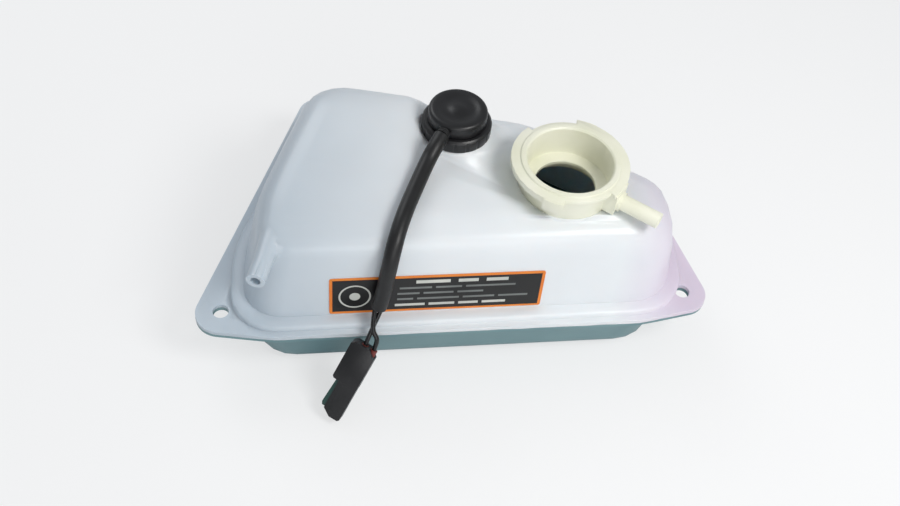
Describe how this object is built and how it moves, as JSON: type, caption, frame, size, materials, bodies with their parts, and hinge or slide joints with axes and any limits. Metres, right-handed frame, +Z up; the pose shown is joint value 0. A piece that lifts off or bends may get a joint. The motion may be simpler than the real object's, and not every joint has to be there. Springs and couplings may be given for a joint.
{
  "type": "coolant expansion tank",
  "caption": "Flanged two-shell coolant expansion tank with an open bayonet filler neck, hose spigots, a screwed-in float level sensor and its short lead and plug.",
  "frame": {"origin": "midway between the two front fixing holes, on the joint face of the two shells", "axes": "+X from the left hole to the right one, +Y to the back, +Z up through the holes"},
  "size_m": [0.265, 0.2009, 0.106],
  "materials": {
    "milky_shell": "satin, milky and slightly see-through",
    "grey_shell": "satin, tinted by what is inside",
    "ivory_neck": "satin",
    "label_film": "printed film",
    "black_nylon": "satin",
    "black_rubber": "matte",
    "reed_glass": "clear",
    "float_foam": "matte",
    "magnet": "matte",
    "clip_steel": "bright",
    "sleeve_vinyl": "satin",
    "wire_vinyl": "satin",
    "seal_rubber": "matte",
    "tinned_brass": "bright"
  },
  "bodies": {
    "tank": {"upper_shell": "milky_shell", "lower_shell": "grey_shell", "filler_neck": "ivory_neck", "front_label": "label_film"},
    "sensor": {"sensor_body": "black_nylon", "sensor_cap": "black_nylon", "sensor_gasket": "black_rubber", "reed_switch": "reed_glass", "float_clip": "clip_steel", "lead_gland": "black_rubber", "lead_sleeve": "sleeve_vinyl", "wire_left": "wire_vinyl", "wire_right": "wire_vinyl", "seal_left": "seal_rubber", "seal_right": "seal_rubber", "plug_housing": "black_nylon", "terminal_left": "tinned_brass", "terminal_right": "tinned_brass"},
    "collar": {"ring_nut": "black_nylon"},
    "float": {"level_float": "float_foam", "float_magnet": "magnet"}
  },
  "joints": [
    {"name": "sensor_lift", "type": "slide", "parent": "tank", "child": "sensor", "axis": [0, 0, 1], "range_m": [0, 0.0036]},
    {"name": "collar_turn", "type": "hinge", "parent": "sensor", "child": "collar", "pos_m": [0.002, 0.07, 0.06], "axis": [0, 0, 1], "range_deg": [0, 433]},
    {"name": "float_slide", "type": "slide", "parent": "sensor", "child": "float", "axis": [0, 0, 1], "range_m": [0, 0.0305]}
  ],
  "couplings": [
    {"joint": "collar_turn", "follows": "sensor_lift", "rad_per_m": 2094.4}
  ]
}
